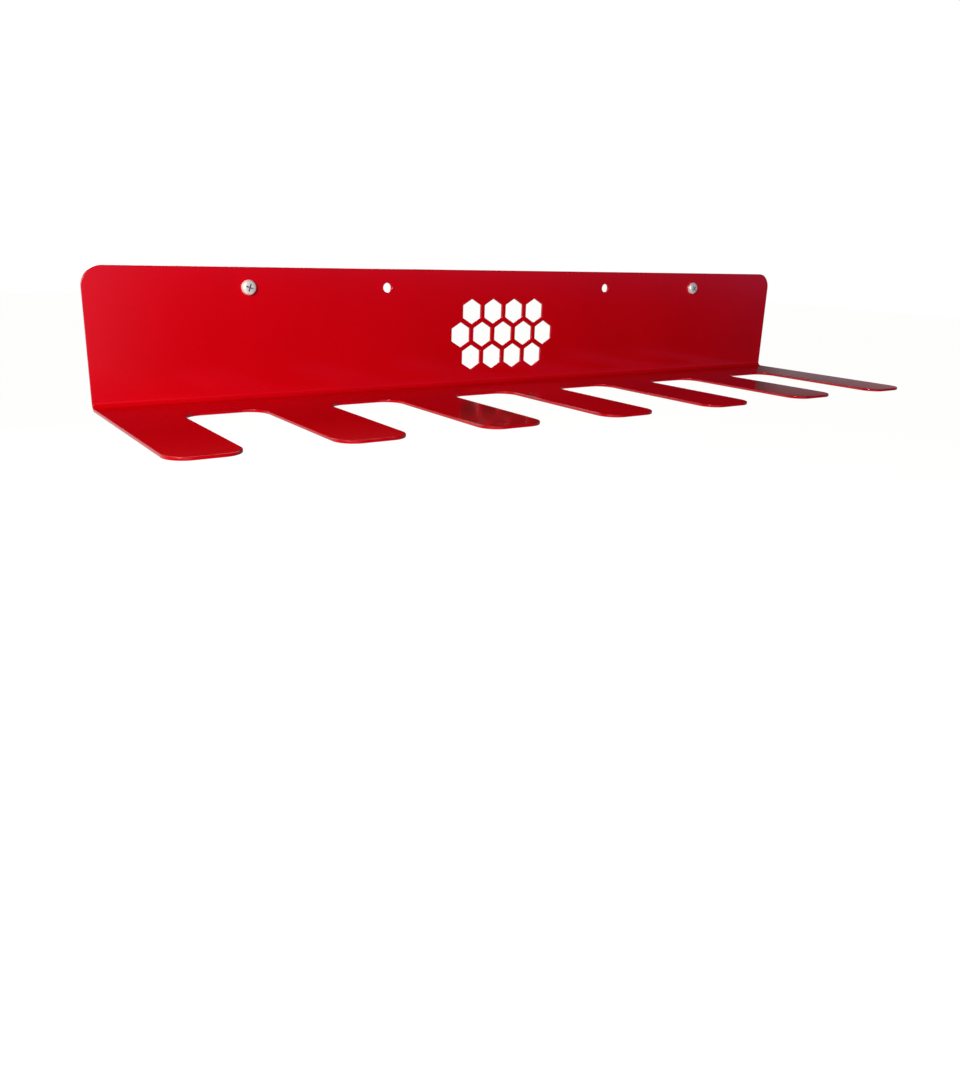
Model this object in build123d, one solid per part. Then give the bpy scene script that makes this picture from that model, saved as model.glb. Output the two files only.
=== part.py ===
from build123d import *
import os

# Wall rack for six cordless power tools: one bent steel sheet held by two screws.
# Frame: X along the rack, +Y into the wall, +Z up. The origin is on the wall plane (the back
# face of the plate), at the middle of the length and on the line of the wall holes.
# All sizes are millimetres.

# Sheet
sheet_thickness = 1.9
bend_inner_radius = 3.2
corner_radius = 12.7

# Upright plate, measured from the top face of the shelf to the top edge
plate_height = 84.0
hole_edge_distance = 12.7

# Shelf, measured forward from the front face of the plate
shelf_depth = 152.4
web_depth = 38.1
slot_count = 6
slot_width = 50.8
middle_finger_width = 44.45
end_finger_width = 41.275

# Wall holes, in two pairs about the middle
outer_hole_spacing = 406.4
inner_hole_spacing = 203.2
hole_clearance = 0.85

# Honeycomb window cut through the middle of the plate
honeycomb_width = 96.0
honeycomb_margin = 6.0
hexagon_across_flats = 16.0
honeycomb_rib = 3.5

# Pan head wood screw, threaded up to a plain neck under its head
screw_thread_diameter = 4.8
screw_neck_diameter = 4.0
screw_length = 38.1
screw_point_length = 6.0
screw_head_diameter = 9.7
screw_head_height = 3.0
screw_rim_height = 0.9
screw_crown_diameter = 6.0
recess_width = 5.0
recess_blade = 1.1
recess_depth = 1.8
recess_taper_degrees = 12.0

# Values that serve every cut and every rounding
cut_overrun = 10.0
largest_rounding_share = 0.48

# Places that follow from the sizes above
rack_length = (2 * end_finger_width + slot_count * slot_width
               + (slot_count - 1) * middle_finger_width)
slot_pitch = slot_width + middle_finger_width
front_y = -sheet_thickness
tip_y = front_y - shelf_depth
slot_root_y = front_y - web_depth
top_z = hole_edge_distance
shelf_z = top_z - plate_height
bend_start_z = shelf_z + bend_inner_radius
hole_diameter = screw_thread_diameter + 2 * hole_clearance


def bent_sheet():
    """The blank after bending, before anything is cut from it."""
    middle = sheet_thickness / 2
    bend = FilletPolyline(
        (-middle, top_z),
        (-middle, shelf_z - middle),
        (tip_y, shelf_z - middle),
        radius=bend_inner_radius + middle,
    )
    section = Plane.YZ * trace(bend, sheet_thickness)
    return extrude(section, amount=rack_length / 2, both=True)


def slot_centres():
    """X of the middle of each slot, from left to right."""
    first = -slot_pitch * (slot_count - 1) / 2
    return [first + slot_pitch * number for number in range(slot_count)]


def slot_cut():
    """Plan of one slot about X zero: rounded at its root, open past the finger tips."""
    length = slot_root_y - tip_y + cut_overrun
    root_radius = min(corner_radius, largest_rounding_share * slot_width)
    cut = Pos(0, slot_root_y - length / 2) * Rectangle(slot_width, length)
    return fillet(cut.vertices().group_by(Axis.Y)[-1], root_radius)


def shelf_outline():
    """The sheet seen from above: the web and its fingers, rounded at the tips."""
    depth = cut_overrun - tip_y
    narrowest_finger = min(end_finger_width, middle_finger_width)
    tip_radius = min(corner_radius, largest_rounding_share * narrowest_finger)
    plan = Pos(0, tip_y + depth / 2) * Rectangle(rack_length, depth)
    for x in slot_centres():
        plan -= Pos(x, 0) * slot_cut()
    return fillet(plan.vertices().group_by(Axis.Y)[0], tip_radius)


def plate_outline():
    """The sheet seen from the front: a rectangle with rounded top corners."""
    height = plate_height + sheet_thickness + cut_overrun
    top_radius = min(corner_radius, largest_rounding_share * plate_height)
    front = Pos(0, top_z - height / 2) * Rectangle(rack_length, height)
    return fillet(front.vertices().group_by(Axis.Y)[-1], top_radius)


def wall_holes():
    """The outer and the inner pair of round holes, on the hole line."""
    hole = Circle(hole_diameter / 2)
    return [Pos(side * spacing / 2, 0) * hole
            for spacing in (outer_hole_spacing, inner_hole_spacing) for side in (-1, 1)]


def honeycomb():
    """Staggered rows of hexagons that fill the space between the hole line and the bend."""
    pitch = hexagon_across_flats + honeycomb_rib
    row_height = pitch * 3 ** 0.5 / 2
    corner_to_corner = hexagon_across_flats * 2 / 3 ** 0.5
    space = -bend_start_z - 2 * honeycomb_margin - corner_to_corner
    side_rows = max(int(space / 2 / row_height), 0)
    middle_count = int((honeycomb_width - hexagon_across_flats) / pitch) + 1
    hexagon = RegularPolygon(hexagon_across_flats / 2, 6, major_radius=False, rotation=30)
    cells = []
    for row in range(-side_rows, side_rows + 1):
        count = middle_count - abs(row)
        z = bend_start_z / 2 + row * row_height
        for number in range(count):
            x = (number - (count - 1) / 2) * pitch
            cells.append(Pos(x, z) * hexagon)
    return cells


def tool_rack_plate():
    """The bent sheet, trimmed to its plan and its front view, with the plate's openings."""
    height = plate_height + sheet_thickness + cut_overrun
    from_above = extrude(shelf_outline(), amount=height, both=True)
    from_front = extrude(Plane.XZ * plate_outline(), amount=cut_overrun - tip_y, both=True)
    openings = Sketch() + wall_holes() + honeycomb()
    through = extrude(Plane.XZ * openings, amount=sheet_thickness + cut_overrun, both=True)
    return (bent_sheet() & from_above & from_front) - through


def screw_section():
    """Half of a screw cut along its axis: head under zero, point at the top."""
    head_radius = screw_head_diameter / 2
    crown_radius = screw_crown_diameter / 2
    neck_radius = screw_neck_diameter / 2
    thread_radius = screw_thread_diameter / 2
    shoulder = TangentArc(
        (head_radius, -screw_rim_height),
        (crown_radius, -screw_head_height),
        tangent=(0, -1),
    )
    rest = Polyline(
        (crown_radius, -screw_head_height),
        (0, -screw_head_height),
        (0, screw_length),
        (thread_radius, screw_length - screw_point_length),
        (thread_radius, sheet_thickness),
        (neck_radius, sheet_thickness),
        (neck_radius, 0),
        (head_radius, 0),
        (head_radius, -screw_rim_height),
    )
    return make_face([shoulder, rest])


def cross_recess():
    """The cross-shaped driver recess, narrowing from the top of the head."""
    cross = Rectangle(recess_width, recess_blade) + Rectangle(recess_blade, recess_width)
    top = Plane((0, 0, -screw_head_height)) * cross
    return extrude(top, amount=recess_depth, taper=recess_taper_degrees)


def mounting_screw():
    """One screw with the underside of its head at Z zero and its point along +Z."""
    return revolve(Plane.XZ * screw_section(), Axis.Z) - cross_recess()


def placed_screw(x):
    """A screw in the wall hole at this X, its head against the front of the plate."""
    return Plane((x, front_y, 0), x_dir=(1, 0, 0), z_dir=(0, 1, 0)) * mounting_screw()


def build_parts():
    """Every piece of the rack by its node name."""
    screw_x = outer_hole_spacing / 2
    return {
        "tool_rack_plate": tool_rack_plate(),
        "mounting_screw_left": placed_screw(-screw_x),
        "mounting_screw_right": placed_screw(screw_x),
    }


os.makedirs("parts", exist_ok=True)
for name, piece in build_parts().items():
    export_step(piece, f"parts/{name}.step")
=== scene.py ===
"""Dresses the wall rack: one bent, powder coated steel sheet and the two screws that hold it.

Frame: metres, X along the rack, +Y into the wall, +Z up, with the origin on the wall plane, at
the middle of the length and on the line of the wall holes.
"""
import functools
import logging
import math
from collections.abc import Callable
from dataclasses import dataclass
from enum import Enum

import bpy
from mathutils import Matrix, Vector


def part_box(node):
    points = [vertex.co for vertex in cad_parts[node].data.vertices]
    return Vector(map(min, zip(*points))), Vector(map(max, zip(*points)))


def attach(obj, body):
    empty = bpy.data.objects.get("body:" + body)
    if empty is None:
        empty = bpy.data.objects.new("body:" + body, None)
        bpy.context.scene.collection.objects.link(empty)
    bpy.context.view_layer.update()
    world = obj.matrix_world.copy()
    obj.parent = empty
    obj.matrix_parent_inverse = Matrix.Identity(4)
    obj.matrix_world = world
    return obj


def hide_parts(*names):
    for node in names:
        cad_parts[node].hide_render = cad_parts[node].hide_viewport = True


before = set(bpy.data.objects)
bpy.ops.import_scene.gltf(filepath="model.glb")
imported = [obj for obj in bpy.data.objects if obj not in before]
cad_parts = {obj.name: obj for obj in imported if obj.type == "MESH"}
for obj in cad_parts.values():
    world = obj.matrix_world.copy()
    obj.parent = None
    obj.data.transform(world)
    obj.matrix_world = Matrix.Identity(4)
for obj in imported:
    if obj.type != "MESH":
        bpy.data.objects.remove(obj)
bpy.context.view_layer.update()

LOG = logging.getLogger("wall_rack")
MM = 0.001
WELD_DISTANCE = 0.001 * MM
RIGHT_ANGLE = math.pi / 2
# Whole numbers in a tree are told apart half a step away from either.
HALF_STEP = 0.5
CUT_EDGE = "cut_edge"
RECESS = "recess"
THREAD_SHARE = "thread_share"

AddNode = Callable[..., bpy.types.Node]
Triple = tuple[float, float, float]


class Slot(Enum):
    """The record's material slots."""

    SHEET = "red_powder_coat"
    SCREW = "zinc_screw"


class Side(Enum):
    """The two screws, each by the turn at which it bit and stopped, which its recess shows."""

    LEFT = math.radians(20.0)
    RIGHT = math.radians(52.0)


def linear(colour: str) -> tuple[float, float, float, float]:
    """Turns an sRGB hex colour into linear RGBA.

    Args:
        colour: Six hex digits after a hash sign.

    Returns:
        Linear red, green and blue, and an alpha of one.
    """
    shares = (int(colour[start:start + 2], 16) / 255 for start in (1, 3, 5))
    channels = [share / 12.92 if share <= 0.04045 else ((share + 0.055) / 1.055) ** 2.4
                for share in shares]
    return (*channels, 1.0)


def add_node(tree: bpy.types.NodeTree, kind: str, inputs: dict | None = None,
             **settings: object) -> bpy.types.Node:
    """Adds one node with its settings, values and links.

    Args:
        tree: The node tree to add to.
        kind: The node's type name.
        inputs: What each input gets, by name or number: a value, a socket, a node for its first
            output, or a list of nodes for an input that takes several.
        **settings: The node's own properties.

    Returns:
        The new node.
    """
    node = tree.nodes.new(kind)
    for name, value in settings.items():
        setattr(node, name, value)
    for key, value in (inputs or {}).items():
        target = node.inputs[key] if isinstance(key, int) else next(
            socket for socket in node.inputs if socket.enabled and socket.name == key)
        for source in value if isinstance(value, list) else [value]:
            if isinstance(source, bpy.types.Node):
                source = next(socket for socket in source.outputs if socket.enabled)
            if isinstance(source, bpy.types.NodeSocket):
                tree.links.new(source, target)
            else:
                target.default_value = source
    return node


def empty_nodes(owner: bpy.types.Material | bpy.types.World) -> AddNode:
    """Gives a material or a world an empty node tree.

    Args:
        owner: The material or the world.

    Returns:
        The function that adds a node to the tree.
    """
    owner.use_nodes = True
    owner.node_tree.nodes.clear()
    return functools.partial(add_node, owner.node_tree)


def new_geometry_tree(
        name: str, kinds: dict[str, str]) -> tuple[bpy.types.NodeTree, AddNode, bpy.types.NodeOutputs]:
    """Starts a Geometry Nodes tree with named inputs and one geometry output.

    Args:
        name: The tree's name.
        kinds: The kind of socket that each input has, by its name.

    Returns:
        The tree, the function that adds a node to it, and the sockets that carry its inputs.
    """
    tree = bpy.data.node_groups.new(name, "GeometryNodeTree")
    for title, kind in kinds.items():
        tree.interface.new_socket(title, in_out="INPUT", socket_type=f"NodeSocket{kind}")
    tree.interface.new_socket("Geometry", in_out="OUTPUT", socket_type="NodeSocketGeometry")
    add = functools.partial(add_node, tree)
    return tree, add, add("NodeGroupInput").outputs


def kinds_of(values: dict[str, object]) -> dict[str, str]:
    """Tells which kind of socket each value needs.

    Args:
        values: The values, by the names of their inputs.

    Returns:
        The kinds of socket, by the same names.
    """
    kinds = {int: "Int", float: "Float", tuple: "Vector", Vector: "Vector", bpy.types.Material: "Material"}
    return {name: kinds[type(value)] for name, value in values.items()}


def show(name: str, data: bpy.types.ID) -> bpy.types.Object:
    """Puts a new object in the scene.

    Args:
        name: The object's name.
        data: Its mesh, lamp or lens.

    Returns:
        The object, at the origin.
    """
    shown = bpy.data.objects.new(name, data)
    bpy.context.scene.collection.objects.link(shown)
    return shown


def bake_tree(tree: bpy.types.NodeTree, name: str, values: dict[str, object]) -> bpy.types.Object:
    """Runs a Geometry Nodes tree once and keeps its result as a plain mesh at the origin.

    Args:
        tree: The tree to run.
        name: The name of the finished piece.
        values: What each named input gets.

    Returns:
        The finished piece, with no modifiers left on it.
    """
    holder = show(f"{name}_tree", bpy.data.meshes.new(f"{name}_tree"))
    modifier = holder.modifiers.new(tree.name, "NODES")
    modifier.node_group = tree
    for item in tree.interface.items_tree:
        if item.in_out == "INPUT":
            modifier[item.identifier] = values[item.name]
    holder.modifiers.new("Flat faces stay flat", "WEIGHTED_NORMAL").keep_sharp = True
    evaluated = holder.evaluated_get(bpy.context.evaluated_depsgraph_get())
    mesh = bpy.data.meshes.new_from_object(evaluated)
    bpy.data.objects.remove(holder)
    mesh.name = name
    return show(name, mesh)


def stand_for(piece: bpy.types.Object, node: str) -> None:
    """Puts a finished piece in the frame in place of its CAD node, and logs it.

    Args:
        piece: The finished piece.
        node: The CAD node that it stands for.
    """
    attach(piece, "root")
    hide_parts(node)
    triangles = sum(len(face.vertices) - 2 for face in piece.data.polygons)
    LOG.info("%s: %d triangles, for node %s", piece.name, triangles, node)


@dataclass(frozen=True)
class GlossPowderCoat:
    """Polyester powder, sprayed dry and baked on: a thick gloss film with a faint orange peel."""

    name: str = "gloss_powder_coat_red"
    colour: str = "#CC000C"
    pooled_colour: str = "#BF0008"
    edge_colour: str = "#B8000C"
    roughness: float = 0.13
    edge_roughness: float = 0.16
    ior: float = 1.5
    # Real orange peel has waves of about 2 mm. They are drawn at 4 mm so that they show.
    peel_wave: float = 4.0 * MM
    peel_depth: float = 0.006 * MM
    # Thicker and thinner patches of the film, seen as a slow drift of the red.
    patch_size: float = 60.0 * MM

    def material(self) -> bpy.types.Material:
        """Builds the red coat.

        Returns:
            The material for the bent sheet.
        """
        made = bpy.data.materials.new(self.name)
        add = empty_nodes(made)
        place = add("ShaderNodeTexCoord").outputs["Object"]
        patches = add("ShaderNodeTexNoise", {"Vector": place, "Scale": 1 / self.patch_size, "Detail": 2.0})
        red = add("ShaderNodeMix",
                  {"Factor": patches.outputs["Fac"], "A": linear(self.colour),
                   "B": linear(self.pooled_colour)}, data_type="RGBA")

        # The film pulls thin over a cut edge, which shows there as a duller, deeper red.
        edge = add("ShaderNodeAttribute", attribute_name=CUT_EDGE).outputs["Fac"]
        film = add("ShaderNodeMix",
                   {"Factor": edge, "A": red, "B": linear(self.edge_colour)}, data_type="RGBA")
        gloss = add("ShaderNodeMapRange",
                    {"Value": edge, "To Min": self.roughness, "To Max": self.edge_roughness})

        peel = add("ShaderNodeTexNoise", {"Vector": place, "Scale": 1 / self.peel_wave, "Detail": 1.0})
        waves = add("ShaderNodeBump", {"Height": peel.outputs["Fac"], "Distance": self.peel_depth})
        surface = add("ShaderNodeBsdfPrincipled",
                      {"Base Color": film, "Roughness": gloss, "IOR": self.ior, "Normal": waves})
        add("ShaderNodeOutputMaterial", {"Surface": surface})
        return made


@dataclass(frozen=True)
class BrightZinc:
    """Zinc plated on cold-headed steel: a pale metal under a thin milky skin, with soft highlights."""

    name: str = "bright_zinc_plate"
    colour: str = "#FAF3E6"
    cloud_colour: str = "#EAE4D8"
    # The skin on the zinc scatters light as paint does, so the whole is less than pure metal.
    metallic: float = 0.4
    roughness: float = 0.3
    cloud_roughness: float = 0.45
    # The plating bath hardly reaches into the recess, which stays duller than the head. Its darker colour
    # there is painted shade.
    recess_colour: str = "#8A8782"
    recess_roughness: float = 0.6
    # The plating clouds over in patches of about a millimetre.
    cloud_size: float = 1.2 * MM
    # Grains of the plating are some 0.05 mm. They are drawn at 0.25 mm so that they show.
    grain_size: float = 0.25 * MM
    grain_depth: float = 0.004 * MM

    def material(self) -> bpy.types.Material:
        """Builds the zinc plate.

        Returns:
            The material for both screws.
        """
        made = bpy.data.materials.new(self.name)
        add = empty_nodes(made)
        place = add("ShaderNodeTexCoord").outputs["Object"]
        clouds = add("ShaderNodeTexNoise",
                     {"Vector": place, "Scale": 1 / self.cloud_size, "Detail": 3.0}).outputs["Fac"]
        tint = add("ShaderNodeMix",
                   {"Factor": clouds, "A": linear(self.colour), "B": linear(self.cloud_colour)},
                   data_type="RGBA")
        gloss = add("ShaderNodeMapRange",
                    {"Value": clouds, "To Min": self.roughness, "To Max": self.cloud_roughness})

        # Painted shade in the recess: the colour is darkened there, and the roughness is raised for the
        # duller plating.
        recess = add("ShaderNodeAttribute", attribute_name=RECESS).outputs["Fac"]
        plated = add("ShaderNodeMix",
                     {"Factor": recess, "A": tint, "B": linear(self.recess_colour)}, data_type="RGBA")
        dulled = add("ShaderNodeMix", {"Factor": recess, "A": gloss, "B": self.recess_roughness})

        grain = add("ShaderNodeTexNoise", {"Vector": place, "Scale": 1 / self.grain_size})
        skin = add("ShaderNodeBump", {"Height": grain.outputs["Fac"], "Distance": self.grain_depth})
        surface = add("ShaderNodeBsdfPrincipled",
                      {"Base Color": plated, "Metallic": self.metallic, "Roughness": dulled, "Normal": skin})
        add("ShaderNodeOutputMaterial", {"Surface": surface})
        return made


@dataclass(frozen=True)
class OpalAcrylic:
    """Opal acrylic lit from below, as under product photographs: an even white with faint shadows."""

    name: str = "opal_acrylic_lit"
    colour: str = "#FEFEFD"
    # What the sheet shows of the lamps above it, next to its own glow.
    lamp_share: float = 0.1
    glow: float = 0.988

    def material(self) -> bpy.types.Material:
        """Builds the acrylic.

        Returns:
            The material for the floor.
        """
        made = bpy.data.materials.new(self.name)
        add = empty_nodes(made)
        body = [self.lamp_share * channel for channel in linear(self.colour)[:3]]
        surface = add("ShaderNodeBsdfPrincipled",
                      {"Base Color": (*body, 1.0), "Roughness": 1.0, "Specular IOR Level": 0.0,
                       "Emission Color": linear(self.colour), "Emission Strength": self.glow})
        add("ShaderNodeOutputMaterial", {"Surface": surface})
        return made


@dataclass
class RackPlate:
    """The bent sheet: upright plate, bend, and shelf with its fingers, as one welded skin."""

    node: str = "tool_rack_plate"
    thickness: float = 1.9 * MM
    bend_inner_radius: float = 3.2 * MM
    corner_radius: float = 12.7 * MM
    web_depth: float = 38.1 * MM
    slot_count: int = 6
    slot_width: float = 50.8 * MM
    slot_pitch: float = 95.25 * MM
    hole_diameter: float = 6.5 * MM
    outer_hole_spacing: float = 406.4 * MM
    inner_hole_spacing: float = 203.2 * MM
    hexagon_across_flats: float = 16.0 * MM
    hexagon_pitch: float = 19.5 * MM
    hexagon_columns: int = 5
    hexagon_rows: int = 3
    # A laser leaves a small radius in each corner, and the film rounds every edge.
    hexagon_corner_radius: float = 0.8 * MM
    edge_radius: float = 0.45 * MM
    edge_segments: int = 4
    corner_segments: int = 20
    bend_segments: int = 20
    hole_segments: int = 40

    def __post_init__(self) -> None:
        """Takes the outer sizes from the CAD node."""
        low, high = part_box(self.node)
        self.length = high.x - low.x
        self.bend_z = low.z + self.thickness + self.bend_inner_radius
        self.bend_y = -self.thickness - self.bend_inner_radius
        self.rise = high.z - self.bend_z
        self.reach = self.bend_y - low.y

    def inputs(self, coat: bpy.types.Material) -> dict[str, object]:
        """Lists what the rack's tree gets.

        Args:
            coat: The sheet's finish.

        Returns:
            The value of each input, by its name.
        """
        return {
            "Length": self.length,
            "Rise": self.rise,
            "Reach": self.reach,
            "Thickness": self.thickness,
            "Bend Inner Radius": self.bend_inner_radius,
            "Bend Centre": (0.0, self.bend_y, self.bend_z),
            "Bend Segments": self.bend_segments,
            "Slot Count": self.slot_count,
            "Slot Width": self.slot_width,
            "Slot Pitch": self.slot_pitch,
            "Slot Root": self.web_depth - self.bend_inner_radius,
            "Corner Radius": self.corner_radius,
            "Corner Segments": self.corner_segments,
            "Edge Radius": self.edge_radius,
            "Edge Segments": self.edge_segments,
            "Hole Diameter": self.hole_diameter,
            "Hole Segments": self.hole_segments,
            "Hole Height": -self.bend_z,
            "Outer Hole Spacing": self.outer_hole_spacing,
            "Inner Hole Spacing": self.inner_hole_spacing,
            "Window Height": -self.bend_z / 2,
            "Cell Across Flats": self.hexagon_across_flats,
            "Cell Pitch": self.hexagon_pitch,
            "Cell Corner Radius": self.hexagon_corner_radius,
            "Cell Columns": self.hexagon_columns,
            "Cell Rows": self.hexagon_rows,
            "Coat": coat,
        }

    def skin_tree(self) -> bpy.types.NodeTree:
        """Makes the tree that turns flat outlines into a sheet with rounded edges.

        Returns:
            The tree. Its outlines lie in XY with the sheet to their right, and an open one is
            left open where the sheet goes on into the bend.
        """
        tree, add, given = new_geometry_tree("Coated Sheet Skin", {
            "Outline": "Geometry", "Thickness": "Float", "Edge Radius": "Float", "Edge Segments": "Int"})
        outline = add("GeometryNodeSetCurveNormal", {"Curve": given["Outline"]}, mode="Z_UP")

        # The rim is swept along the outline, and its section is as deep as the edge's radius.
        strip = add("GeometryNodeCurvePrimitiveQuadrilateral",
                    {"Width": given["Edge Radius"], "Height": given["Thickness"]})
        opened = add("GeometryNodeSetSplineCyclic", {"Geometry": strip, "Cyclic": False})
        half_radius = add("ShaderNodeMath", {0: given["Edge Radius"], 1: 0.5}, operation="MULTIPLY")
        inward = add("ShaderNodeCombineXYZ", {"X": half_radius})
        placed = add("GeometryNodeTransform", {"Geometry": opened, "Translation": inward})
        section = add("GeometryNodeFilletCurve",
                      {"Curve": placed, "Count": given["Edge Segments"],
                       "Radius": given["Edge Radius"], "Limit Radius": True}, mode="POLY")
        rim = add("GeometryNodeCurveToMesh", {"Curve": outline, "Profile Curve": section})
        marked = add("GeometryNodeStoreNamedAttribute",
                     {"Geometry": rim, "Name": CUT_EDGE, "Value": 1.0}, data_type="FLOAT", domain="FACE")

        # Both faces of the sheet fill the outline drawn in by that radius.
        normal = add("GeometryNodeInputNormal")
        offset = add("ShaderNodeVectorMath", {0: normal, "Scale": given["Edge Radius"]}, operation="SCALE")
        inset = add("GeometryNodeSetPosition", {"Geometry": outline, "Offset": offset})
        closed = add("GeometryNodeSetSplineCyclic", {"Geometry": inset, "Cyclic": True})
        flat = add("GeometryNodeFillCurve", {"Curve": closed}, mode="TRIANGLES")
        half_sheet = add("ShaderNodeMath", {0: given["Thickness"], 1: 0.5}, operation="MULTIPLY")
        up = add("ShaderNodeCombineXYZ", {"Z": half_sheet})
        down = add("ShaderNodeVectorMath", {0: up, "Scale": -1.0}, operation="SCALE")
        top = add("GeometryNodeTransform", {"Geometry": flat, "Translation": up})
        under = add("GeometryNodeTransform", {"Geometry": flat, "Translation": down})
        turned = add("GeometryNodeFlipFaces", {"Mesh": under})

        joined = add("GeometryNodeJoinGeometry", {"Geometry": [top, turned, marked]})
        add("NodeGroupOutput", {"Geometry": joined})
        return tree

    def outline_tree(self) -> bpy.types.NodeTree:
        """Makes the tree that draws one flat, from the bend out and back, with any slots in it.

        Returns:
            The tree. Each slot takes four points, and the two ends take two each, which the
            same rule gives once their X is held within the length.
        """
        tree, add, given = new_geometry_tree("Flat Outline", {
            "Length": "Float", "Reach": "Float", "Slot Root": "Float", "Slot Count": "Int",
            "Slot Width": "Float", "Slot Pitch": "Float", "Corner Radius": "Float",
            "Corner Segments": "Int"})
        slot_points = 4.0
        middle_corner = (slot_points - 1) / 2
        points = add("ShaderNodeMath", {0: given["Slot Count"], 1: slot_points, 2: slot_points},
                     operation="MULTIPLY_ADD")
        line = add("GeometryNodeMeshLine", {"Count": points})
        path = add("GeometryNodeMeshToCurve", {"Mesh": line})

        # The left end is the second half of a slot numbered nought, and the right end is the
        # first half of one past the last.
        index = add("GeometryNodeInputIndex")
        step = add("ShaderNodeMath", {0: index, 1: slot_points / 2}, operation="ADD")
        share = add("ShaderNodeMath", {0: step, 1: slot_points}, operation="DIVIDE")
        slot = add("ShaderNodeMath", {0: share}, operation="FLOOR")
        corner = add("ShaderNodeMath", {0: step, 1: slot_points}, operation="MODULO")

        past_last = add("ShaderNodeMath", {0: given["Slot Count"], 1: 1.0}, operation="ADD")
        middle_slot = add("ShaderNodeMath", {0: past_last, 1: 0.5}, operation="MULTIPLY")
        from_middle = add("ShaderNodeMath", {0: slot, 1: middle_slot}, operation="SUBTRACT")
        slot_x = add("ShaderNodeMath", {0: from_middle, 1: given["Slot Pitch"]}, operation="MULTIPLY")
        right_wall = add("ShaderNodeMath", {0: corner, 1: middle_corner}, operation="GREATER_THAN")
        side = add("ShaderNodeMath", {0: right_wall, 1: 0.5}, operation="SUBTRACT")
        wall_x = add("ShaderNodeMath", {0: side, 1: given["Slot Width"], 2: slot_x},
                     operation="MULTIPLY_ADD")
        right_end = add("ShaderNodeMath", {0: given["Length"], 1: 0.5}, operation="MULTIPLY")
        left_end = add("ShaderNodeMath", {0: right_end, 1: -1.0}, operation="MULTIPLY")
        x = add("ShaderNodeClamp", {"Value": wall_x, "Min": left_end, "Max": right_end})

        # The two middle corners of a slot are at its root, but the first and the last point of
        # the outline are on the bend line.
        off_middle = add("ShaderNodeMath", {0: corner, 1: middle_corner}, operation="SUBTRACT")
        distance = add("ShaderNodeMath", {0: off_middle}, operation="ABSOLUTE")
        at_root = add("ShaderNodeMath", {0: distance, 1: 1.0}, operation="LESS_THAN")
        after_first = add("ShaderNodeMath", {0: index, 1: HALF_STEP}, operation="GREATER_THAN")
        limit = add("ShaderNodeMath", {0: points, 1: 1.0 + HALF_STEP}, operation="SUBTRACT")
        before_last = add("ShaderNodeMath", {0: index, 1: limit}, operation="LESS_THAN")
        between = add("ShaderNodeMath", {0: after_first, 1: before_last}, operation="MULTIPLY")
        root_y = add("ShaderNodeMath", {0: given["Slot Root"], 1: between}, operation="MULTIPLY")
        y = add("ShaderNodeMix", {"Factor": at_root, "A": given["Reach"], "B": root_y})

        place = add("ShaderNodeCombineXYZ", {"X": x, "Y": y})
        drawn = add("GeometryNodeSetPosition", {"Geometry": path, "Position": place})
        rounded = add("GeometryNodeFilletCurve",
                      {"Curve": drawn, "Count": given["Corner Segments"],
                       "Radius": given["Corner Radius"], "Limit Radius": True}, mode="POLY")
        add("NodeGroupOutput", {"Geometry": rounded})
        return tree

    def rack_tree(self, kinds: dict[str, str]) -> bpy.types.NodeTree:
        """Makes the tree that builds the whole bent sheet.

        Args:
            kinds: The kind of socket that each input has, by its name.

        Returns:
            The tree. Each flat is drawn from its bend line outwards, given its skin, and turned
            to its place, and the bend between them is the same section swept round an arc.
        """
        tree, add, given = new_geometry_tree("Bent Slotted Sheet", kinds)
        skin = self.skin_tree()
        outline = self.outline_tree()
        ends = {name: given[name] for name in ("Length", "Corner Radius", "Corner Segments")}
        slots = {name: given[name] for name in ("Slot Root", "Slot Count", "Slot Width", "Slot Pitch")}
        edge = {name: given[name] for name in ("Thickness", "Edge Radius", "Edge Segments")}
        centre = add("ShaderNodeSeparateXYZ", {"Vector": given["Bend Centre"]})
        half_sheet = add("ShaderNodeMath", {0: given["Thickness"], 1: 0.5}, operation="MULTIPLY")
        middle_radius = add("ShaderNodeMath", {0: given["Bend Inner Radius"], 1: half_sheet},
                            operation="ADD")

        # The plate has no slots, and a pitch of twice its length puts both its ends in place.
        end_pitch = add("ShaderNodeMath", {0: given["Length"], 1: 2.0}, operation="MULTIPLY")
        plate_outline = add("GeometryNodeGroup",
                            {**ends, "Reach": given["Rise"], "Slot Count": 0, "Slot Pitch": end_pitch},
                            node_tree=outline)
        loops = [plate_outline, self.hole_loops(add, given), self.cell_loops(add, given)]
        plate_loops = add("GeometryNodeJoinGeometry", {"Geometry": loops})
        plate_flat = add("GeometryNodeGroup", {**edge, "Outline": plate_loops}, node_tree=skin)
        plate_y = add("ShaderNodeMath", {0: half_sheet, 1: -1.0}, operation="MULTIPLY")
        plate_place = add("ShaderNodeCombineXYZ", {"Y": plate_y, "Z": centre.outputs["Z"]})
        plate = add("GeometryNodeTransform",
                    {"Geometry": plate_flat, "Translation": plate_place,
                     "Rotation": (RIGHT_ANGLE, 0.0, 0.0)})

        shelf_outline = add("GeometryNodeGroup", {**ends, **slots, "Reach": given["Reach"]},
                            node_tree=outline)
        shelf_flat = add("GeometryNodeGroup", {**edge, "Outline": shelf_outline}, node_tree=skin)
        shelf_z = add("ShaderNodeMath", {0: centre.outputs["Z"], 1: middle_radius}, operation="SUBTRACT")
        shelf_place = add("ShaderNodeCombineXYZ", {"Y": centre.outputs["Y"], "Z": shelf_z})
        shelf = add("GeometryNodeTransform",
                    {"Geometry": shelf_flat, "Translation": shelf_place, "Rotation": (math.pi, 0.0, 0.0)})

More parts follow.
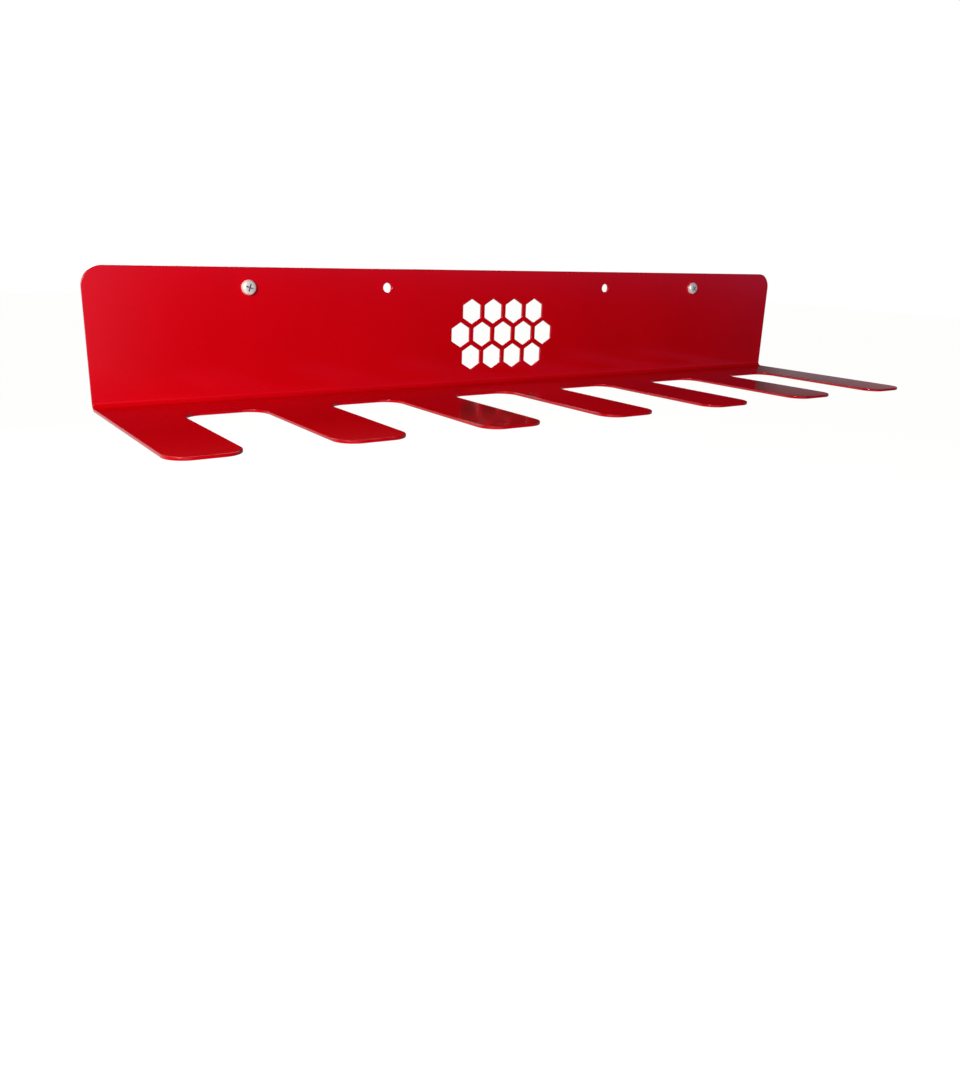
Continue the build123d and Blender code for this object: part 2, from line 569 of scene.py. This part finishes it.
        bend = self.bend_strip(add, given, middle_radius)
        joined = add("GeometryNodeJoinGeometry", {"Geometry": [plate, shelf, bend]})
        welded = add("GeometryNodeMergeByDistance", {"Geometry": joined, "Distance": WELD_DISTANCE})
        smooth = add("GeometryNodeSetShadeSmooth", {"Geometry": welded, "Shade Smooth": True})
        real = add("GeometryNodeRealizeInstances", {"Geometry": smooth})
        coated = add("GeometryNodeSetMaterial", {"Geometry": real, "Material": given["Coat"]})
        add("NodeGroupOutput", {"Geometry": coated})
        return tree

    def bend_strip(self, add: AddNode, given: bpy.types.NodeOutputs,
                   middle_radius: bpy.types.Node) -> bpy.types.Node:
        """Adds the nodes that bend the sheet between its two flats.

        Args:
            add: Adds a node to the tree.
            given: The tree's inputs.
            middle_radius: The node with the radius from the bend centre to the sheet's middle.

        Returns:
            The node that carries the bend, which is open where the flats go on.
        """
        # The bend is drawn as one unit of straight sheet, and each point of that length is then
        # turned about the bend centre by its share of the right angle.
        line = add("GeometryNodeCurvePrimitiveLine", {"End": (0.0, 1.0, 0.0)})
        points = add("ShaderNodeMath", {0: given["Bend Segments"], 1: 1.0}, operation="ADD")
        straight = add("GeometryNodeResampleCurve", {"Curve": line, "Count": points}, mode="COUNT")
        path = add("GeometryNodeSetCurveNormal", {"Curve": straight}, mode="Z_UP")
        slab = add("GeometryNodeCurvePrimitiveQuadrilateral",
                   {"Width": given["Length"], "Height": given["Thickness"]})
        section = add("GeometryNodeFilletCurve",
                      {"Curve": slab, "Count": given["Edge Segments"],
                       "Radius": given["Edge Radius"], "Limit Radius": True}, mode="POLY")
        strip = add("GeometryNodeCurveToMesh", {"Curve": path, "Profile Curve": section})

        at = add("ShaderNodeSeparateXYZ", {"Vector": add("GeometryNodeInputPosition")})
        turn = add("ShaderNodeMath", {0: at.outputs["Y"], 1: RIGHT_ANGLE}, operation="MULTIPLY")
        below = add("ShaderNodeMath", {0: at.outputs["Z"], 1: middle_radius}, operation="SUBTRACT")
        arm = add("ShaderNodeCombineXYZ", {"X": at.outputs["X"], "Z": below})
        turned = add("ShaderNodeVectorRotate", {"Vector": arm, "Angle": turn}, rotation_type="X_AXIS")
        place = add("ShaderNodeVectorMath", {0: turned, 1: given["Bend Centre"]}, operation="ADD")
        bend = add("GeometryNodeSetPosition", {"Geometry": strip, "Position": place})

        half_length = add("ShaderNodeMath", {0: given["Length"], 1: 0.5}, operation="MULTIPLY")
        rim_start = add("ShaderNodeMath", {0: half_length, 1: given["Edge Radius"]}, operation="SUBTRACT")
        from_middle = add("ShaderNodeMath", {0: at.outputs["X"]}, operation="ABSOLUTE")
        on_rim = add("ShaderNodeMath", {0: from_middle, 1: rim_start}, operation="GREATER_THAN")
        return add("GeometryNodeStoreNamedAttribute",
                   {"Geometry": bend, "Name": CUT_EDGE, "Value": on_rim}, data_type="FLOAT", domain="FACE")

    def hole_loops(self, add: AddNode, given: bpy.types.NodeOutputs) -> bpy.types.Node:
        """Adds the nodes that draw the wall holes, a pair for each spacing.

        Args:
            add: Adds a node to the tree.
            given: The tree's inputs.

        Returns:
            The node that carries the round loops.
        """
        # Two points one unit apart are stretched to each spacing.
        pair = add("GeometryNodeMeshLine",
                   {"Count": 2, "Start Location": (-0.5, 0.0, 0.0), "Offset": (1.0, 0.0, 0.0)})
        height = add("ShaderNodeCombineXYZ", {"Y": given["Hole Height"]})
        pairs = []
        for name in ("Outer Hole Spacing", "Inner Hole Spacing"):
            stretch = add("ShaderNodeCombineXYZ", {"X": given[name], "Y": 1.0, "Z": 1.0})
            pairs.append(add("GeometryNodeTransform",
                             {"Geometry": pair, "Translation": height, "Scale": stretch}))
        centres = add("GeometryNodeJoinGeometry", {"Geometry": pairs})
        radius = add("ShaderNodeMath", {0: given["Hole Diameter"], 1: 0.5}, operation="MULTIPLY")
        ring = add("GeometryNodeCurvePrimitiveCircle",
                   {"Resolution": given["Hole Segments"], "Radius": radius})
        rings = add("GeometryNodeInstanceOnPoints", {"Points": centres, "Instance": ring})
        return add("GeometryNodeRealizeInstances", {"Geometry": rings})

    def cell_loops(self, add: AddNode, given: bpy.types.NodeOutputs) -> bpy.types.Node:
        """Adds the nodes that draw the honeycomb's cells, with every other row half a pitch over.

        Args:
            add: Adds a node to the tree.
            given: The tree's inputs.

        Returns:
            The node that carries the six-sided loops.
        """
        # Rows lie half the root of three of a pitch apart, and a cell's corners lie its width
        # across flats over the root of three from its middle.
        root_three = math.sqrt(3)
        cell_sides = 6
        column_gaps = add("ShaderNodeMath", {0: given["Cell Columns"], 1: 1.0}, operation="SUBTRACT")
        row_gaps = add("ShaderNodeMath", {0: given["Cell Rows"], 1: 1.0}, operation="SUBTRACT")
        row_pitch = add("ShaderNodeMath", {0: given["Cell Pitch"], 1: root_three / 2},
                        operation="MULTIPLY")
        width = add("ShaderNodeMath", {0: column_gaps, 1: given["Cell Pitch"]}, operation="MULTIPLY")
        height = add("ShaderNodeMath", {0: row_gaps, 1: row_pitch}, operation="MULTIPLY")
        grid = add("GeometryNodeMeshGrid",
                   {"Size X": width, "Size Y": height, "Vertices X": given["Cell Columns"],
                    "Vertices Y": given["Cell Rows"]})

        # The grid numbers its points up each column in turn.
        index = add("GeometryNodeInputIndex")
        row = add("ShaderNodeMath", {0: index, 1: given["Cell Rows"]}, operation="MODULO")
        middle_row = add("ShaderNodeMath", {0: row_gaps, 1: 0.5}, operation="MULTIPLY")
        off_middle = add("ShaderNodeMath", {0: row, 1: middle_row}, operation="SUBTRACT")
        distance = add("ShaderNodeMath", {0: off_middle}, operation="ABSOLUTE")
        odd = add("ShaderNodeMath", {0: distance, 1: 2.0}, operation="MODULO")
        half_pitch = add("ShaderNodeMath", {0: given["Cell Pitch"], 1: 0.5}, operation="MULTIPLY")
        shift = add("ShaderNodeMath", {0: odd, 1: half_pitch}, operation="MULTIPLY")
        offset = add("ShaderNodeCombineXYZ", {"X": shift, "Y": given["Window Height"]})
        staggered = add("GeometryNodeSetPosition", {"Geometry": grid, "Offset": offset})

        # A row that is shifted over loses the cell that it would put past the middle row's end.
        at = add("ShaderNodeSeparateXYZ", {"Vector": add("GeometryNodeInputPosition")})
        limit = add("ShaderNodeMath", {0: column_gaps, 1: half_pitch, 2: WELD_DISTANCE},
                    operation="MULTIPLY_ADD")
        beyond = add("FunctionNodeCompare", {"A": at.outputs["X"], "B": limit},
                     data_type="FLOAT", operation="GREATER_THAN")
        kept = add("GeometryNodeDeleteGeometry", {"Geometry": staggered, "Selection": beyond})

        radius = add("ShaderNodeMath", {0: given["Cell Across Flats"], 1: root_three},
                     operation="DIVIDE")
        hexagon = add("GeometryNodeCurvePrimitiveCircle", {"Resolution": cell_sides, "Radius": radius})
        rounded = add("GeometryNodeFilletCurve",
                      {"Curve": hexagon, "Count": given["Edge Segments"],
                       "Radius": given["Cell Corner Radius"], "Limit Radius": True}, mode="POLY")
        cells = add("GeometryNodeInstanceOnPoints",
                    {"Points": kept, "Instance": rounded, "Rotation": (0.0, 0.0, math.pi / cell_sides)})
        return add("GeometryNodeRealizeInstances", {"Geometry": cells})

    def build(self, coat: bpy.types.Material) -> bpy.types.Object:
        """Builds the bent sheet.

        Args:
            coat: Its finish.

        Returns:
            The finished piece, standing for its CAD node.
        """
        values = self.inputs(coat)
        piece = bake_tree(self.rack_tree(kinds_of(values)), "coated_rack_plate", values)
        stand_for(piece, self.node)
        return piece


@dataclass
class PanHeadScrew:
    """A pan head wood screw with a cross recess and a rolled thread."""

    side: Side
    sheet_thickness: float = 1.9 * MM
    head_diameter: float = 9.7 * MM
    head_height: float = 3.0 * MM
    rim_height: float = 0.9 * MM
    # A pan head is flat at its crown and steep at its rim, as the root of a cosine is.
    dome_power: float = 0.5
    neck_diameter: float = 4.0 * MM
    root_diameter: float = 3.3 * MM
    thread_diameter: float = 4.8 * MM
    # No. 10 wood screws have 13 threads to the inch.
    thread_pitch: float = 1.95 * MM
    thread_width: float = 0.95 * MM
    # The ridge starts inside the core, at this share of the core's radius.
    thread_foot_share: float = 0.9
    point_length: float = 6.0 * MM
    run_out: float = 1.2 * MM
    recess_width: float = 5.0 * MM
    recess_blade: float = 1.1 * MM
    recess_depth: float = 1.8 * MM
    recess_taper: float = math.radians(12.0)
    recess_overrun: float = 0.5 * MM
    sharp_angle: float = math.radians(35.0)
    dome_rings: int = 12
    sides: int = 40
    core_rings: int = 80

    def __post_init__(self) -> None:
        """Takes the screw's place and length from its CAD node."""
        self.node = f"mounting_screw_{self.side.name.lower()}"
        low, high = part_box(self.node)
        self.place = Vector(((low.x + high.x) / 2, low.y + self.head_height, (low.z + high.z) / 2))
        self.length = high.y - self.place.y

    def inputs(self, plating: bpy.types.Material) -> dict[str, object]:
        """Lists what the screw's tree gets.

        Args:
            plating: The screw's finish.

        Returns:
            The value of each input, by its name.
        """
        return {
            "Length": self.length,
            "Head Radius": self.head_diameter / 2,
            "Head Height": self.head_height,
            "Rim Height": self.rim_height,
            "Dome Power": self.dome_power,
            "Dome Rings": self.dome_rings,
            "Sides": self.sides,
            "Sharp Angle": self.sharp_angle,
            "Recess Width": self.recess_width,
            "Recess Blade": self.recess_blade,
            "Recess Depth": self.recess_depth,
            "Recess Inset": self.recess_depth * math.tan(self.recess_taper),
            "Recess Overrun": self.recess_overrun,
            "Neck Length": self.sheet_thickness,
            "Neck Radius": self.neck_diameter / 2,
            "Root Radius": self.root_diameter / 2,
            "Run Out": self.run_out,
            "Point Length": self.point_length,
            "Thread Pitch": self.thread_pitch,
            "Crest Radius": self.thread_diameter / 2,
            "Thread Width": self.thread_width,
            "Thread Foot Share": self.thread_foot_share,
            "Core Rings": self.core_rings,
            "Turn": self.side.value,
            "Place": self.place,
            "Plating": plating,
        }

    def head_mesh(self, add: AddNode, given: bpy.types.NodeOutputs) -> bpy.types.Node:
        """Adds the nodes that turn the head and cut its cross recess.

        Args:
            add: Adds a node to the tree.
            given: The tree's inputs.

        Returns:
            The node that carries the head, with its bearing face at Z zero and its crown below.
        """
        # The last point is the bearing face. Before it, the dome goes from its crown to the rim.
        rings = given["Dome Rings"]
        points = add("ShaderNodeMath", {0: rings, 1: 2.0}, operation="ADD")
        line = add("GeometryNodeCurvePrimitiveLine")
        path = add("GeometryNodeResampleCurve", {"Curve": line, "Count": points}, mode="COUNT")
        index = add("GeometryNodeInputIndex")
        rings_left = add("ShaderNodeMath", {0: rings, 1: index}, operation="SUBTRACT")
        share = add("ShaderNodeMath", {0: rings_left, 1: rings}, operation="DIVIDE", use_clamp=True)
        angle = add("ShaderNodeMath", {0: share, 1: RIGHT_ANGLE}, operation="MULTIPLY")

        sine = add("ShaderNodeMath", {0: angle}, operation="SINE")
        dome_height = add("ShaderNodeMath", {0: given["Head Height"], 1: given["Rim Height"]},
                          operation="SUBTRACT")
        rise = add("ShaderNodeMath", {0: sine, 1: dome_height, 2: given["Rim Height"]},
                   operation="MULTIPLY_ADD")
        on_dome = add("ShaderNodeMath", {0: rings_left, 1: -HALF_STEP}, operation="GREATER_THAN")
        height = add("ShaderNodeMath", {0: rise, 1: on_dome}, operation="MULTIPLY")
        z = add("ShaderNodeMath", {0: height, 1: -1.0}, operation="MULTIPLY")
        place = add("ShaderNodeCombineXYZ", {"Z": z})
        drawn = add("GeometryNodeSetPosition", {"Geometry": path, "Position": place})

        cosine = add("ShaderNodeMath", {0: angle}, operation="COSINE")
        fullness = add("ShaderNodeMath", {0: cosine, 1: given["Dome Power"]}, operation="POWER")
        radius = add("ShaderNodeMath", {0: fullness, 1: given["Head Radius"]}, operation="MULTIPLY")
        unit_ring = add("GeometryNodeCurvePrimitiveCircle", {"Resolution": given["Sides"], "Radius": 1.0})
        solid = add("GeometryNodeCurveToMesh",
                    {"Curve": drawn, "Profile Curve": unit_ring, "Scale": radius, "Fill Caps": True})
        closed = add("GeometryNodeMergeByDistance", {"Geometry": solid, "Distance": WELD_DISTANCE})
        return add("GeometryNodeMeshBoolean", {"Mesh 1": closed, "Mesh 2": self.recess_blades(add, given)},
                   operation="DIFFERENCE", solver="MANIFOLD")

    def recess_blades(self, add: AddNode, given: bpy.types.NodeOutputs) -> list[bpy.types.Node]:
        """Adds the nodes that make the two crossed blades which cut the recess.

        Args:
            add: Adds a node to the tree.
            given: The tree's inputs.

        Returns:
            The nodes that carry the blades, which narrow as they go into the head.
        """
        tall = add("ShaderNodeMath", {0: given["Recess Depth"], 1: given["Recess Overrun"]},
                   operation="ADD")
        size = add("ShaderNodeCombineXYZ",
                   {"X": given["Recess Width"], "Y": given["Recess Blade"], "Z": tall})
        block = add("GeometryNodeMeshCube", {"Size": size})

        position = add("GeometryNodeInputPosition")
        corner = add("ShaderNodeSeparateXYZ", {"Vector": position})
        deep_end = add("ShaderNodeMath", {0: corner.outputs["Z"], 1: 0.0}, operation="GREATER_THAN")
        inset = add("ShaderNodeMath", {0: deep_end, 1: given["Recess Inset"]}, operation="MULTIPLY")
        insets = add("ShaderNodeCombineXYZ", {"X": inset, "Y": inset})
        signs = add("ShaderNodeVectorMath", {0: position}, operation="SIGN")
        outward = add("ShaderNodeVectorMath", {0: signs, 1: insets}, operation="MULTIPLY")
        inward = add("ShaderNodeVectorMath", {0: outward, "Scale": -1.0}, operation="SCALE")
        wedge = add("GeometryNodeSetPosition", {"Geometry": block, "Offset": inward})
        marked = add("GeometryNodeStoreNamedAttribute",
                     {"Geometry": wedge, "Name": RECESS, "Value": 1.0}, data_type="FLOAT", domain="FACE")

        reach = add("ShaderNodeMath", {0: given["Recess Depth"], 1: given["Recess Overrun"]},
                    operation="SUBTRACT")
        middle = add("ShaderNodeMath", {0: reach, 1: 0.5}, operation="MULTIPLY")
        z = add("ShaderNodeMath", {0: middle, 1: given["Head Height"]}, operation="SUBTRACT")
        place = add("ShaderNodeCombineXYZ", {"Z": z})
        return [add("GeometryNodeTransform",
                    {"Geometry": marked, "Translation": place, "Rotation": (0.0, 0.0, angle)})
                for angle in (0.0, RIGHT_ANGLE)]

    def shank_size(self, add: AddNode, given: bpy.types.NodeOutputs,
                   depth: bpy.types.NodeSocket) -> tuple[bpy.types.Node, bpy.types.Node]:
        """Adds the nodes that say how thick the shank and how high its thread is at a depth.

        Args:
            add: Adds a node to the tree.
            given: The tree's inputs.
            depth: How far along the shank, from under the head.

        Returns:
            The node with the radius under the thread, and the node with the thread's share of
            its full height.
        """
        neck_end = add("ShaderNodeMath", {0: given["Neck Length"], 1: given["Run Out"]}, operation="ADD")
        run_out = {"Value": depth, "From Min": given["Neck Length"], "From Max": neck_end}
        core = add("ShaderNodeMapRange",
                   {**run_out, "To Min": given["Neck Radius"], "To Max": given["Root Radius"]})
        run_in = add("ShaderNodeMapRange", {**run_out, "To Min": 0.0, "To Max": 1.0})
        point_start = add("ShaderNodeMath", {0: given["Length"], 1: given["Point Length"]},
                          operation="SUBTRACT")
        fullness = add("ShaderNodeMapRange",
                       {"Value": depth, "From Min": point_start, "From Max": given["Length"],
                        "To Min": 1.0, "To Max": 0.0})
        radius = add("ShaderNodeMath", {0: core, 1: fullness}, operation="MULTIPLY")
        share = add("ShaderNodeMath", {0: run_in, 1: fullness}, operation="MULTIPLY")
        return radius, share

    def core_mesh(self, add: AddNode, given: bpy.types.NodeOutputs) -> bpy.types.Node:
        """Adds the nodes that turn the shank under its thread.

        Args:
            add: Adds a node to the tree.
            given: The tree's inputs.

        Returns:
            The node that carries the neck, the core and the point, from inside the head.
        """
        start_z = add("ShaderNodeMath", {0: given["Rim Height"], 1: -0.5}, operation="MULTIPLY")
        start = add("ShaderNodeCombineXYZ", {"Z": start_z})
        end = add("ShaderNodeCombineXYZ", {"Z": given["Length"]})
        line = add("GeometryNodeCurvePrimitiveLine", {"Start": start, "End": end})
        path = add("GeometryNodeResampleCurve", {"Curve": line, "Count": given["Core Rings"]}, mode="COUNT")
        at = add("ShaderNodeSeparateXYZ", {"Vector": add("GeometryNodeInputPosition")})
        radius, _ = self.shank_size(add, given, at.outputs["Z"])
        unit_ring = add("GeometryNodeCurvePrimitiveCircle", {"Resolution": given["Sides"], "Radius": 1.0})
        rod = add("GeometryNodeCurveToMesh",
                  {"Curve": path, "Profile Curve": unit_ring, "Scale": radius, "Fill Caps": True})
        return add("GeometryNodeMergeByDistance", {"Geometry": rod, "Distance": WELD_DISTANCE})

    def thread_mesh(self, add: AddNode, given: bpy.types.NodeOutputs) -> bpy.types.Node:
        """Adds the nodes that wind the thread's ridge round the shank.

        Args:
            add: Adds a node to the tree.
            given: The tree's inputs.

        Returns:
            The node that carries the ridge, as a right-hand helix sunk a little into the core.
        """
        threaded = add("ShaderNodeMath", {0: given["Length"], 1: given["Neck Length"]},
                       operation="SUBTRACT")
        turns = add("ShaderNodeMath", {0: threaded, 1: given["Thread Pitch"]}, operation="DIVIDE")
        steps = add("ShaderNodeMath", {0: turns, 1: given["Sides"]}, operation="MULTIPLY")
        start = add("ShaderNodeCombineXYZ", {"Z": given["Neck Length"]})
        end = add("ShaderNodeCombineXYZ", {"Z": given["Length"]})
        line = add("GeometryNodeCurvePrimitiveLine", {"Start": start, "End": end})
        axis = add("GeometryNodeResampleCurve", {"Curve": line, "Count": steps}, mode="COUNT")

        # The thread's share of its height and its place on the helix are both worked out along
        # the straight axis, before that is wound.
        at = add("ShaderNodeSeparateXYZ", {"Vector": add("GeometryNodeInputPosition")})
        radius, share = self.shank_size(add, given, at.outputs["Z"])
        shared = add("GeometryNodeStoreNamedAttribute",
                     {"Geometry": axis, "Name": THREAD_SHARE, "Value": share},
                     data_type="FLOAT", domain="POINT")
        turn = add("ShaderNodeMath", {0: at.outputs["Z"], 1: given["Thread Pitch"]}, operation="DIVIDE")
        angle = add("ShaderNodeMath", {0: turn, 1: math.tau}, operation="MULTIPLY")
        foot = add("ShaderNodeMath", {0: radius, 1: given["Thread Foot Share"]}, operation="MULTIPLY")
        arm = add("ShaderNodeCombineXYZ", {"X": foot, "Z": at.outputs["Z"]})
        wound = add("ShaderNodeVectorRotate", {"Vector": arm, "Angle": angle}, rotation_type="Z_AXIS")
        helix = add("GeometryNodeSetPosition", {"Geometry": shared, "Position": wound})
        upright = add("GeometryNodeSetCurveNormal", {"Curve": helix}, mode="Z_UP")

        full_foot = add("ShaderNodeMath", {0: given["Root Radius"], 1: given["Thread Foot Share"]},
                        operation="MULTIPLY")
        crest_height = add("ShaderNodeMath", {0: given["Crest Radius"], 1: full_foot},
                           operation="SUBTRACT")
        half_width = add("ShaderNodeMath", {0: given["Thread Width"], 1: 0.5}, operation="MULTIPLY")
        crest = add("ShaderNodeCombineXYZ", {"X": crest_height})
        edge = add("ShaderNodeCombineXYZ", {"Y": half_width})
        other_edge = add("ShaderNodeVectorMath", {0: edge, "Scale": -1.0}, operation="SCALE")
        section = add("GeometryNodeCurvePrimitiveQuadrilateral",
                      {"Point 1": crest, "Point 2": edge, "Point 3": (0.0, 0.0, 0.0),
                       "Point 4": other_edge}, mode="POINTS")
        scale = add("GeometryNodeInputNamedAttribute", {"Name": THREAD_SHARE}, data_type="FLOAT")
        ridge = add("GeometryNodeCurveToMesh",
                    {"Curve": upright, "Profile Curve": section, "Scale": scale, "Fill Caps": True})
        return add("GeometryNodeMergeByDistance", {"Geometry": ridge, "Distance": WELD_DISTANCE})

    def screw_tree(self, kinds: dict[str, str]) -> bpy.types.NodeTree:
        """Makes the tree that builds one whole screw.

        Args:
            kinds: The kind of socket that each input has, by its name.

        Returns:
            The tree. It builds the screw along Z, turns it about its axis, and sets it in the wall.
        """
        tree, add, given = new_geometry_tree("Pan Head Wood Screw", kinds)
        solids = [self.head_mesh(add, given), self.core_mesh(add, given), self.thread_mesh(add, given)]
        # A union takes all its meshes at its second input.
        whole = add("GeometryNodeMeshBoolean", {1: solids}, operation="UNION", solver="MANIFOLD")
        smooth = add("GeometryNodeSetShadeSmooth", {"Geometry": whole, "Shade Smooth": True})
        angle = add("GeometryNodeInputMeshEdgeAngle")
        sharp = add("FunctionNodeCompare", {"A": angle, "B": given["Sharp Angle"]},
                    data_type="FLOAT", operation="GREATER_THAN")
        edged = add("GeometryNodeSetShadeSmooth",
                    {"Geometry": smooth, "Selection": sharp, "Shade Smooth": False}, domain="EDGE")

        turn = add("ShaderNodeCombineXYZ", {"Z": given["Turn"]})
        turned = add("GeometryNodeTransform", {"Geometry": edged, "Rotation": turn})
        placed = add("GeometryNodeTransform",
                     {"Geometry": turned, "Translation": given["Place"],
                      "Rotation": (-RIGHT_ANGLE, 0.0, 0.0)})
        real = add("GeometryNodeRealizeInstances", {"Geometry": placed})
        plated = add("GeometryNodeSetMaterial", {"Geometry": real, "Material": given["Plating"]})
        add("NodeGroupOutput", {"Geometry": plated})
        return tree

    def build(self, plating: bpy.types.Material) -> bpy.types.Object:
        """Builds the screw.

        Args:
            plating: Its finish.

        Returns:
            The finished piece, standing for its CAD node.
        """
        values = self.inputs(plating)
        name = f"pan_head_screw_{self.side.name.lower()}"
        piece = bake_tree(self.screw_tree(kinds_of(values)), name, values)
        stand_for(piece, self.node)
        return piece


@dataclass(frozen=True)
class SoftBox:
    """One square soft light: where it hangs, what it points at, its size and its power."""

    name: str
    place: Triple
    target: Triple
    size: float
    watts: float

    def hang(self) -> None:
        """Puts the light in the scene."""
        lamp = bpy.data.lights.new(self.name, "AREA")
        lamp.size = self.size
        lamp.energy = self.watts
        box = show(self.name, lamp)
        box.visible_camera = False
        direction = Vector(self.target) - Vector(self.place)
        box.matrix_world = (Matrix.Translation(self.place)
                            @ direction.to_track_quat("-Z", "Y").to_matrix().to_4x4())


@dataclass(frozen=True)
class Limit:
    """One limit of a part of the room, by how nearly a direction points towards a given one.

    Going by the cosine of the angle between the two, the part starts at the first value and is
    at its full strength from the second.
    """

    towards: Triple
    begins: float
    full: float


@dataclass(frozen=True)
class RoomPart:
    """One part of the room: its colour, its strength, and the limits that all hold in it."""

    colour: str
    strength: float
    limits: list[Limit]


@dataclass
class Studio:
    """The plain room round the rack: floor, soft light and camera."""

    floor_drop: float = 0.42
    floor_size: float = 14.0
    camera_place: Triple = (-0.4279, -0.5950, 0.0320)
    camera_azimuth: float = math.radians(34.83)
    camera_elevation: float = math.radians(17.77)
    camera_roll: float = math.radians(1.94)
    lens: float = 30.87
    sensor: float = 36.0
    background: str = "#FFFFFF"
    # The light that fills the corners that no part of the room reaches.
    dark: str = "#F4F5FF"
    dark_strength: float = 0.01

    def room(self) -> list[RoomPart]:
        """Lists what the gloss and the shaded sides see of the room round the rack."""
        front, up, down = (0.0, -1.0, 0.0), (0.0, 0.0, 1.0), (0.0, 0.0, -1.0)
        above_floor = Limit(up, -0.5, -0.35)
        return [
            # Cool light in front, which the left end of the plate mirrors.
            RoomPart("#BCC4FF", 0.62, [Limit((-0.2, -0.98, 0.0), 0.875, 0.945)]),
            # Faint cool light to the right of the front, which the right end of the plate mirrors.
            RoomPart("#9AA2FF", 0.1, [Limit((0.85, -0.52, 0.0), 0.975, 0.995)]),
            # A narrow band in front, from eye level up, which the plate's top edge mirrors.
            RoomPart("#9AA2FF", 0.33, [Limit(front, 0.2, 0.5), Limit(up, -0.045, -0.015),
                                       Limit(down, -0.2, -0.08)]),
            # A white wall behind, which lights the back and the left rims of the fingers.
            RoomPart("#FFFFFF", 0.8, [Limit((-0.45, 0.89, -0.1), 0.55, 0.9), above_floor]),
            # The same wall further right, up to eye level only, which the back mirrors.
            RoomPart("#F4F5FF", 0.29, [Limit((0.75, 0.65, 0.1), 0.25, 0.85), Limit(down, -0.03, 0.06),
                                       above_floor]),
            # A low lit strip on the far right, which the end finger mirrors.
            RoomPart("#F4F5FF", 0.35, [Limit((0.894, 0.436, 0.1), 0.9703, 0.9816),
                                       Limit(up, -0.06, 0.03), Limit(down, -0.132, -0.1235)]),
            # Faint light beyond either end of the rack.
            RoomPart("#FFFFFF", 0.1, [Limit((-1.0, -0.1, 0.2), 0.8, 0.95)]),
            RoomPart("#FFFFFF", 0.1, [Limit((1.0, 0.05, 0.2), 0.84, 0.96)]),
            # The lit floor, which lights the rack from below.
            RoomPart("#FBFAF6", 1.3, [Limit(down, 0.4, 0.75)]),
        ]

    def lights(self) -> list[SoftBox]:
        """Lists the soft boxes."""
        return [
            SoftBox("key_soft_box", place=(-1.08, -0.92, 0.32), target=(-0.9, 0.0, -0.03),
                    size=0.4, watts=26.2),
            SoftBox("back_soft_box", place=(0.2, 1.3, 0.62), target=(0.0, 0.0, 0.0),
                    size=1.0, watts=16.0),
        ]

    def light_room(self) -> None:
        """Gives the world its brightness by direction, and a plain background to the camera."""
        world = bpy.data.worlds.new("studio_room")
        bpy.context.scene.world = world
        add = empty_nodes(world)
        direction = add("ShaderNodeTexCoord").outputs["Generated"]
        light = self.dark_strength * Vector(linear(self.dark)[:3])
        for part in self.room():
            share = part.strength
            for limit in part.limits:
                towards = Vector(limit.towards).normalized()
                facing = add("ShaderNodeVectorMath", {0: direction, 1: towards}, operation="DOT_PRODUCT")
                share = add("ShaderNodeMapRange",
                            {"Value": facing.outputs["Value"], "From Min": limit.begins,
                             "From Max": limit.full, "To Max": share}, interpolation_type="SMOOTHSTEP")
            shares = add("ShaderNodeCombineXYZ", {"X": share, "Y": share, "Z": share})
            colour = Vector(linear(part.colour)[:3])
            light = add("ShaderNodeVectorMath", {0: colour, 1: shares, 2: light}, operation="MULTIPLY_ADD")
        glow = add("ShaderNodeBackground", {"Color": light})
        seen = add("ShaderNodeBackground", {"Color": linear(self.background)})
        by_camera = add("ShaderNodeLightPath").outputs["Is Camera Ray"]
        shown = add("ShaderNodeMixShader", {0: by_camera, 1: glow, 2: seen})
        add("ShaderNodeOutputWorld", {"Surface": shown})

    def lay_floor(self) -> None:
        """Lays the pale floor under the rack. Its glow is for the camera, and the world lights the rack."""
        half = self.floor_size / 2
        corners = [(x * half, y * half, -self.floor_drop) for x, y in ((-1, -1), (1, -1), (1, 1), (-1, 1))]
        mesh = bpy.data.meshes.new("acrylic_floor")
        mesh.from_pydata(corners, [], [(0, 1, 2, 3)])
        mesh.materials.append(OpalAcrylic().material())
        floor = show("acrylic_floor", mesh)
        floor.visible_glossy = False
        floor.visible_diffuse = False

    def place_camera(self) -> None:
        """Sets the camera where the photograph was taken from."""
        lens = bpy.data.cameras.new("photograph_view")
        lens.lens = self.lens
        lens.sensor_width = self.sensor
        camera = show("photograph_view", lens)
        camera.matrix_world = (Matrix.Translation(self.camera_place)
                               @ Matrix.Rotation(-self.camera_azimuth, 4, "Z")
                               @ Matrix.Rotation(RIGHT_ANGLE - self.camera_elevation, 4, "X")
                               @ Matrix.Rotation(self.camera_roll, 4, "Z"))
        bpy.context.scene.camera = camera

    def set_up(self) -> None:
        """Builds the whole studio."""
        bpy.context.scene.view_settings.view_transform = "Standard"
        self.place_camera()
        self.light_room()
        self.lay_floor()
        for lamp in self.lights():
            lamp.hang()
        LOG.info("studio: floor, %d soft boxes and camera", len(self.lights()))


def main() -> None:
    """Builds the studio, the sheet and the screws."""
    logging.basicConfig(level=logging.INFO, format="%(name)s: %(message)s")
    Studio().set_up()
    RackPlate().build(GlossPowderCoat().material())
    plating = BrightZinc().material()
    for side in Side:
        PanHeadScrew(side).build(plating)


if __name__ == "__main__":
    main()
